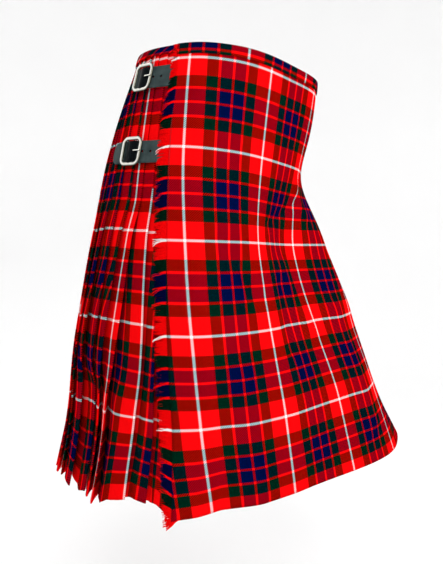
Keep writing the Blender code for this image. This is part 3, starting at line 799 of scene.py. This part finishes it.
def swept(name, path, profile, closed, place):
    """A bar swept along a flat path of the buckle's own frame."""
    outline = bpy.data.curves.new(name + "_profile", "CURVE")
    outline.dimensions = "2D"
    add_line(outline, [(x, y, 0.0) for x, y in profile], True)
    shape = add_object(name + "_profile", outline)
    curve = bpy.data.curves.new(name, "CURVE")
    curve.dimensions = "3D"
    curve.twist_mode = "Z_UP"
    curve.bevel_mode = "OBJECT"
    curve.bevel_object = shape
    curve.use_fill_caps = not closed
    add_line(curve, path, closed)
    mesh = mesh_of_curve(curve, name, shape)
    bm = bmesh.new()
    bm.from_mesh(mesh)
    bmesh.ops.remove_doubles(bm, verts=bm.verts, dist=0.00002)
    bmesh.ops.recalc_face_normals(bm, faces=bm.faces)
    # The height across each bar, which the nickel reads for its painted highlight and painted shade.
    crown = bm.verts.layers.float.new("crown")
    lowest = min(vert.co.z for vert in bm.verts)
    highest = max(vert.co.z for vert in bm.verts)
    for vert in bm.verts:
        vert[crown] = (vert.co.z - lowest) / (highest - lowest)
    bmesh.ops.transform(bm, matrix=place.matrix(), verts=bm.verts)
    bm.to_mesh(mesh)
    bm.free()
    mesh.name = name
    return add_object(name, mesh)


def oval(wide, high, sides):
    return [(wide / 2 * cos(angle), high / 2 * sin(angle))
            for angle in np.linspace(0, 2 * pi, sides + 1)[:-1]]


def make_frame(fastening, place, nickel):
    """The rounded frame of oval bar, and the thin bar across its middle, which has no crown value and so
    takes the nickel's painted shade all over.
    """
    bar, bar_thick = 0.0052, 0.0032
    grow = 0.0015 - bar / 2
    wide = FRAME_WIDTH / 2 + grow + 0.0010
    high = FRAME_HEIGHT / 2 + grow
    corner = FRAME_CORNER
    path = []
    for turn, (x, y) in enumerate(((1, 1), (-1, 1), (-1, -1), (1, -1))):
        for step in range(9):
            angle = pi / 2 * (turn + step / 8)
            path.append((x * (wide - corner) + corner * cos(angle),
                         y * (high - corner) + corner * sin(angle), FRAME_LEVEL + 0.0003))
    item = swept("kilt_frame_" + fastening.name, path, oval(bar, bar_thick, 20), True, place)
    bm = bmesh.new()
    bm.from_mesh(item.data)
    made = bmesh.ops.create_cone(bm, cap_ends=True, segments=16, radius1=BAR_RADIUS,
                                 radius2=BAR_RADIUS, depth=2 * high)
    turned = Matrix.Translation((0, 0, BAR_LEVEL)) @ Matrix.Rotation(pi / 2, 4, "X")
    bmesh.ops.transform(bm, matrix=place.matrix() @ turned, verts=made["verts"])
    bm.to_mesh(item.data)
    bm.free()
    return finish_piece(item, nickel, ["frame_" + fastening.name])


def make_prong(fastening, place, nickel):
    """The prong, out of the strap's hole and over the frame's bar."""
    path = []
    eye = BAR_RADIUS + 0.0002 + PRONG_RADIUS
    for degrees in range(100, 371, 18):
        angle = radians(degrees)
        path.append((eye * cos(angle), 0.0, BAR_LEVEL + eye * sin(angle)))
    for along, out in ((0.0023, 0.0047), (0.0032, 0.0056), (0.0046, 0.0070), (0.0060, 0.0081),
                       (0.0085, 0.0090), (0.0130, 0.0091), (0.0170, 0.0090), (0.0190, 0.0088)):
        path.append((along, 0.0, out))
    path = [(x * place.forwards, y, z) for x, y, z in path]
    profile = oval(2 * PRONG_RADIUS, 2 * PRONG_RADIUS, 12)
    item = swept("kilt_prong_" + fastening.name, path, profile, False, place)
    return finish_piece(item, nickel, ["prong_" + fastening.name])


def strap_bends(fastening, rest):
    """The whole strap from its tip: the tail, the way through the buckle, and the rest."""
    tail = [step - fastening.tail for step in TAIL_STEPS]
    bends = [Bend(along, TAIL_LOW if along < TAB_TAIL - 0.005 else TAIL_HIGH) for along in tail]
    if tail[-1] < TAB_TAIL:
        bends.append(Bend(TAB_TAIL, TAIL_HIGH))
    return bends + list(STRAP_IN_BUCKLE) + list(rest)


def make_fastenings(leather, nickel):
    for fastening in RIGHT_FASTENINGS:
        place = Place(-fastening.behind, fastening.drop, 1)
        root = fastening.behind + RIGHT_ROOT
        rest = [Bend(along, STRAP_IN_BUCKLE[-1].out) for along in np.linspace(0.031, root, 6)]
        make_strap(fastening, place, strap_bends(fastening, rest), HOLES, leather)
        make_frame(fastening, place, nickel)
        make_prong(fastening, place, nickel)
    fastening = LEFT_FASTENING
    layout = layout_at(fastening.drop)
    past = layout.left_fold + fastening.behind - layout.edge
    place = Place(past, fastening.drop, -1)
    inside = -2 * LAYER - CLOTH / 2 - 0.0003 - STRAP_THICK / 2
    rest = list(STRAP_THROUGH_SLIT) + [Bend(along, inside) for along in (0.0450, 0.0600, 0.0800)]
    make_strap(fastening, place, strap_bends(fastening, rest), HOLES[:2], leather)
    make_frame(fastening, place, nickel)
    make_prong(fastening, place, nickel)


# ---------------- materials
def shader_material(name, roughness, metallic=0.0, specular=0.5):
    """A material, its shader and its nodes."""
    made = bpy.data.materials.new(name)
    made.use_nodes = True
    shader = made.node_tree.nodes["Principled BSDF"]
    shader.inputs["Roughness"].default_value = roughness
    shader.inputs["Metallic"].default_value = metallic
    shader.inputs["Specular IOR Level"].default_value = specular
    return made, shader, Nodes(made.node_tree)


class Nodes:
    """Short ways to add nodes to one tree and join them."""

    def __init__(self, tree):
        self.tree = tree

    def add(self, kind, inputs=(), **settings):
        node = self.tree.nodes.new(kind)
        for name, value in settings.items():
            setattr(node, name, value)
        for socket, value in dict(inputs).items():
            if isinstance(value, bpy.types.NodeSocket):
                self.tree.links.new(value, node.inputs[socket])
            else:
                node.inputs[socket].default_value = value
        return node

    def math(self, operation, first, second=0.0, third=0.0):
        node = self.add("ShaderNodeMath", {0: first, 1: second, 2: third}, operation=operation)
        return node.outputs[0]

    def mix(self, factor, first, second, blend="MIX"):
        node = self.add("ShaderNodeMix", {0: factor, 6: first, 7: second}, data_type="RGBA",
                        blend_type=blend)
        return node.outputs[2]

    def place(self):
        """The place on the object."""
        return self.add("ShaderNodeTexCoord").outputs["Object"]

    def flat_place(self):
        """The place on the flat cloth, or along and across a strap."""
        return self.add("ShaderNodeUVMap", uv_map="cloth").outputs["UV"]

    def stretched(self, vector, factors):
        return self.add("ShaderNodeVectorMath", {0: vector, 1: factors}, operation="MULTIPLY").outputs[0]

    def noise(self, vector, scale, detail=2.0, roughness=0.5):
        node = self.add("ShaderNodeTexNoise", {"Vector": vector, "Scale": scale, "Detail": detail,
                                               "Roughness": roughness})
        return node.outputs["Fac"]

    def ramp(self, factor, stops, kind="LINEAR"):
        node = self.add("ShaderNodeValToRGB", {"Fac": factor})
        node.color_ramp.interpolation = kind
        stop = node.color_ramp.elements
        while len(stop) < len(stops):
            stop.new(0.5)
        for item, (at, colour) in zip(stop, stops):
            item.position = at
            item.color = (*colour, 1.0)
        return node.outputs["Color"]

    def bump(self, height, strength, distance, normal=None):
        inputs = {"Height": height, "Strength": strength, "Distance": distance}
        if normal is not None:
            inputs["Normal"] = normal
        return self.add("ShaderNodeBump", inputs).outputs["Normal"]

    def feed(self, node, values):
        for label, value in values.items():
            self.tree.links.new(value, node.inputs[label])


def new_group(name, inputs, outputs):
    """An empty node group with named sockets: its nodes, its inputs and its output node."""
    group = bpy.data.node_groups.new(name, "ShaderNodeTree")
    for label, kind, value in inputs:
        socket = group.interface.new_socket(label, in_out="INPUT", socket_type="NodeSocket" + kind)
        if value is not None:
            socket.default_value = value
    for label, kind in outputs:
        group.interface.new_socket(label, in_out="OUTPUT", socket_type="NodeSocket" + kind)
    nodes = Nodes(group)
    given = nodes.add("NodeGroupInput")
    return group, nodes, given.outputs, nodes.add("NodeGroupOutput")


WHITE = (0.97, 0.90, 0.88)
RED = (0.90, 0.002, 0.003)
GREEN = (0.001, 0.013, 0.006)
BLUE = (0.0014, 0.0024, 0.034)
# From the white line to the far thin red one, each stripe from a share of half the sett.
STRIPES = ((0.0, WHITE), (0.0260, RED), (0.4033, GREEN), (0.6502, RED), (0.7078, BLUE), (0.9712, RED))


def sett_group():
    """The dyed yarn at a place along the sett."""
    group, nodes, given, output = new_group(
        "sett", [("Place", "Float", 0.0), ("Repeat", "Float", 0.12)], [("Yarn", "Color")])
    share = nodes.math("DIVIDE", given["Place"], given["Repeat"])
    half = nodes.math("PINGPONG", share, 0.5)
    yarn = nodes.ramp(nodes.math("MULTIPLY", half, 2.0), STRIPES, "CONSTANT")
    nodes.feed(output, {"Yarn": yarn})
    return group


def tartan_group(sett):
    """Warp and weft crossed in a two-and-two twill, from the place on the flat cloth."""
    group, nodes, given, output = new_group(
        "tartan", [("Cloth", "Vector", None), ("Twill", "Float", 0.0030)],
        [("Colour", "Color"), ("Ribs", "Float")])
    place = nodes.add("ShaderNodeSeparateXYZ", {0: given["Cloth"]})
    across = place.outputs["X"]
    down = nodes.math("SUBTRACT", place.outputs["Y"], FIRST_WHITE_DOWN)
    yarns = [nodes.add("ShaderNodeGroup", {"Place": at, "Repeat": repeat}, node_tree=sett).outputs[0]
             for at, repeat in ((across, SETT_ACROSS), (down, SETT_DOWN))]
    slope = nodes.math("DIVIDE", nodes.math("ADD", across, down), given["Twill"])
    turn = nodes.math("MULTIPLY", slope, 2 * pi)
    ribs = nodes.math("MULTIPLY_ADD", nodes.math("SINE", turn), 0.5, 0.5)
    over = nodes.math("MULTIPLY_ADD", ribs, 0.86, 0.07)
    mixed = nodes.mix(over, yarns[0], yarns[1])
    parts = nodes.add("ShaderNodeSeparateColor", {0: mixed})
    first, second = (nodes.add("ShaderNodeSeparateColor", {0: yarn}) for yarn in yarns)
    # Where unlike colours cross, the cloth is duller than their mean.
    reds, greens = (nodes.math("ABSOLUTE", nodes.math("SUBTRACT", first.outputs[i], second.outputs[i]))
                    for i in (0, 1))
    unlike = nodes.math("MULTIPLY", reds, nodes.math("SUBTRACT", 1.0, greens))
    keep = nodes.math("MULTIPLY_ADD", unlike, -0.80, 1.0)
    less_blue, less = (1.0, 1.0, 0.45), (0.90, 0.82, 0.84)
    duller = nodes.ramp(greens, ((0.0, (1.0, 1.0, 1.0)), (0.011, less_blue), (0.10, less_blue),
                                 (0.12, less), (1.0, less)))
    red = nodes.math("POWER", parts.outputs[0], 2.8)
    green = nodes.math("MULTIPLY", parts.outputs[1], keep)
    blue = nodes.math("MULTIPLY", parts.outputs[2], keep)
    joined = nodes.add("ShaderNodeCombineColor", {0: red, 1: green, 2: blue})
    streaks = nodes.noise(nodes.stretched(given["Cloth"], (900.0, 60.0, 1.0)), 1.0, 2.0)
    slubs = nodes.noise(nodes.stretched(given["Cloth"], (60.0, 900.0, 1.0)), 1.0, 2.0)
    uneven = nodes.math("ADD", streaks, slubs)
    shade = nodes.math("MULTIPLY_ADD", uneven, 0.24, 0.76)
    colour = nodes.mix(1.0, joined.outputs[0], nodes.ramp(shade, ((0.0, (0, 0, 0)), (1.0, (1, 1, 1)))),
                       "MULTIPLY")
    colour = nodes.mix(1.0, colour, duller, "MULTIPLY")
    nodes.feed(output, {"Colour": colour, "Ribs": ribs})
    return group


def tartan_material(name, tartan, handle):
    """Worsted tartan; handle is the depth of its soft unevenness, in metres."""
    made, shader, nodes = shader_material(name, 0.90, specular=0.0)
    weave = nodes.add("ShaderNodeGroup", {"Cloth": nodes.flat_place()}, node_tree=tartan)
    soft = nodes.noise(nodes.place(), 55.0, 3.0, 0.5)
    normal = nodes.bump(soft, 1.0, handle)
    normal = nodes.bump(weave.outputs["Ribs"], 0.35, 0.00025, normal)
    nodes.feed(shader, {"Base Color": weave.outputs["Colour"], "Normal": normal})
    return made


def fringe_material(name, sett):
    """Loose weft ends, each of the one colour it has in the cloth."""
    made, shader, nodes = shader_material(name, 0.92, specular=0.0)
    cloth_map = nodes.flat_place()
    down = nodes.add("ShaderNodeSeparateXYZ", {0: cloth_map}).outputs["Y"]
    yarn = nodes.add("ShaderNodeGroup", {"Place": nodes.math("SUBTRACT", down, FIRST_WHITE_DOWN),
                                         "Repeat": SETT_DOWN}, node_tree=sett).outputs["Yarn"]
    place = nodes.place()
    fluff = nodes.noise(place, 700.0, 3.0, 0.6)
    shade = nodes.ramp(fluff, ((0.2, (0.55, 0.55, 0.55)), (0.8, (1.0, 1.0, 1.0))))
    colour = nodes.mix(1.0, yarn, shade, "MULTIPLY")
    nodes.feed(shader, {"Base Color": colour, "Normal": nodes.bump(fluff, 0.6, 0.0004)})
    return made


def thread_material():
    made, shader, nodes = shader_material("stitch_thread", 0.7)
    place = nodes.place()
    twist = nodes.noise(place, 900.0, 2.0)
    colour = nodes.ramp(twist, ((0.3, (0.004, 0.006, 0.008)), (0.7, (0.015, 0.018, 0.022))))
    nodes.feed(shader, {"Base Color": colour})
    return made


def leather_material():
    """Charcoal strap leather: fine grain, faint mottling, a soft shine, and painted shade where it arches
    over the bar.
    """
    made, shader, nodes = shader_material("strap_leather", 0.42, specular=0.03)
    place = nodes.place()
    mottle = nodes.noise(place, 60.0, 4.0, 0.6)
    grain = nodes.add("ShaderNodeTexVoronoi", {"Vector": place, "Scale": 900.0},
                      feature="DISTANCE_TO_EDGE").outputs["Distance"]
    pores = nodes.noise(place, 1500.0, 2.0)
    colour = nodes.ramp(mottle, ((0.30, (0.024, 0.036, 0.036)), (0.70, (0.042, 0.060, 0.060))))
    cloth_map = nodes.flat_place()
    along = nodes.math("ABSOLUTE", nodes.add("ShaderNodeSeparateXYZ", {0: cloth_map}).outputs["X"], 0.0)
    # Painted shade: darker where the strap arches over the buckle's bar, in place of the shade and dark
    # reflections there.
    painted_arch_shade = nodes.ramp(nodes.math("MULTIPLY", along, 50.0),
                      ((0.45, (0.05, 0.06, 0.08)), (0.75, (1.0, 1.0, 1.0))))
    colour = nodes.mix(1.0, colour, painted_arch_shade, "MULTIPLY")
    rough = nodes.math("MULTIPLY_ADD", mottle, 0.25, 0.30)
    normal = nodes.bump(pores, 0.25, 0.00006, nodes.bump(grain, 0.35, 0.00010))
    nodes.feed(shader, {"Base Color": colour, "Roughness": rough, "Normal": normal})
    return made


def nickel_material():
    """Polished nickel plate with a few fine rubbing marks, a painted highlight along each bar's crown and
    painted shade down its sides.
    """
    made, shader, nodes = shader_material("nickel_plate", 0.16, metallic=1.0)
    place = nodes.place()
    marks = nodes.noise(nodes.stretched(place, (300.0, 300.0, 2500.0)), 1.0, 4.0, 0.7)
    cloudy = nodes.noise(place, 130.0, 3.0)
    colour = nodes.ramp(cloudy, ((0.3, (0.80, 0.79, 0.70)), (0.7, (0.96, 0.95, 0.90))))
    # Painted highlight and shade: bright on the crown of a bar and dark down its sides, in place of the
    # reflections there.
    crown = nodes.add("ShaderNodeAttribute", attribute_name="crown").outputs["Fac"]
    painted_highlight_and_shade = nodes.ramp(crown, ((0.80, (0.10, 0.10, 0.08)), (0.98, (1.0, 1.0, 1.0))))
    colour = nodes.mix(1.0, colour, painted_highlight_and_shade, "MULTIPLY")
    rough = nodes.math("MULTIPLY_ADD", marks, 0.20, 0.10)
    nodes.feed(shader, {"Base Color": colour, "Roughness": rough,
                        "Normal": nodes.bump(marks, 0.08, 0.00004)})
    return made


# ---------------- studio
CAMERA_PLACE = (-0.6958, -0.6316, -0.264)
CAMERA_HEADING = radians(47.7)
PICTURE = (443, 564)
FOCAL = 607.0                  # in pixels of the picture
CENTRE = (227.7, 244.4)
FLOOR = -0.98


def make_camera():
    data = bpy.data.cameras.new("camera")
    data.sensor_fit = "VERTICAL"
    data.sensor_height = 24.0
    data.lens = FOCAL / PICTURE[1] * data.sensor_height
    data.shift_x = (PICTURE[0] / 2 - CENTRE[0]) / PICTURE[1]
    data.shift_y = (CENTRE[1] - PICTURE[1] / 2) / PICTURE[1]
    data.clip_start = 0.01
    camera = add_object("camera", data)
    camera.location = CAMERA_PLACE
    camera.rotation_euler = (pi / 2, 0.0, -CAMERA_HEADING)
    bpy.context.scene.camera = camera


def make_studio():
    """A pale floor that curves up all round, a pale sky, and three soft lights."""
    bm = bmesh.new()
    wide, high, bend = 3.4, 3.2, 1.4
    profile = [(0.0, 0.0), (1.2, 0.0), (wide - bend, 0.0)]
    for step in range(1, 9):
        angle = pi / 2 * step / 8
        profile.append((wide - bend + bend * sin(angle), bend - bend * cos(angle)))
    profile.append((wide, high))
    verts = [bm.verts.new((x, 0.0, FLOOR + z)) for x, z in profile]
    edges = [bm.edges.new(pair) for pair in zip(verts, verts[1:])]
    bmesh.ops.spin(bm, geom=verts + edges, cent=(0, 0, 0), axis=(0, 0, 1), angle=2 * pi, steps=64,
                   use_merge=True, use_duplicate=False)
    bmesh.ops.remove_doubles(bm, verts=bm.verts, dist=0.0001)
    bmesh.ops.recalc_face_normals(bm, faces=bm.faces)
    mesh = mesh_of(bm, "floor")
    mesh.shade_smooth()
    floor = add_object("floor", mesh)
    made, shader, nodes = shader_material("floor_paper", 0.9, specular=0.1)
    tone = nodes.noise(nodes.place(), 3.0)
    colour = nodes.ramp(tone, ((0.0, (0.96, 0.96, 0.96)), (1.0, (0.99, 0.99, 0.99))))
    nodes.feed(shader, {"Base Color": colour})
    mesh.materials.append(made)

    world = bpy.data.worlds.new("sky")
    world.use_nodes = True
    sky = world.node_tree.nodes["Background"]
    sky.inputs["Color"].default_value = (1.0, 1.0, 1.0, 1.0)
    sky.inputs["Strength"].default_value = 0.76
    bpy.context.scene.world = world
    for name, place, size, power in (("key", (-1.2, -1.3, 0.9), 1.0, 24.0),
                                     ("fill", (0.6, -1.9, 0.5), 1.4, 16.0),
                                     ("back", (0.4, 1.8, 1.2), 1.6, 10.0)):
        data = bpy.data.lights.new(name, "AREA")
        data.size = size
        data.energy = power
        light = add_object(name, data)
        light.location = place
        light.rotation_euler = (Vector((0, 0, -0.3)) - Vector(place)).to_track_quat("-Z", "Y").to_euler()
    bpy.context.scene.view_settings.view_transform = "Standard"


# ---------------- putting it together
def main():
    make_camera()
    make_studio()
    sett = sett_group()
    tartan = tartan_group(sett)
    wool = tartan_material("tartan_wool", tartan, 0.0012)
    band_wool = tartan_material("waistband_wool", tartan, 0.0004)
    fringe_wool = fringe_material("fringe_wool", sett)
    leather = leather_material()
    nickel = nickel_material()

    left = cloth("kilt_over_apron_and_left_pleats", left_line)
    right = cloth("kilt_right_pleats_and_under_apron", right_line)
    finish_piece(left, wool, ["over_apron_and_left_pleats"])
    finish_piece(right, wool, ["right_pleats_and_under_apron"])
    band = finish_piece(make_waistband(), band_wool, ["waistband"])
    fringe = finish_piece(make_fringe(), fringe_wool, ["fringe"])
    stitches = finish_piece(make_edge_stitches(), thread_material(), [])
    make_fastenings(leather, nickel)
    for name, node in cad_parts.items():
        if name.startswith("tab_"):
            for spot in node.material_slots:
                spot.material = leather


main()
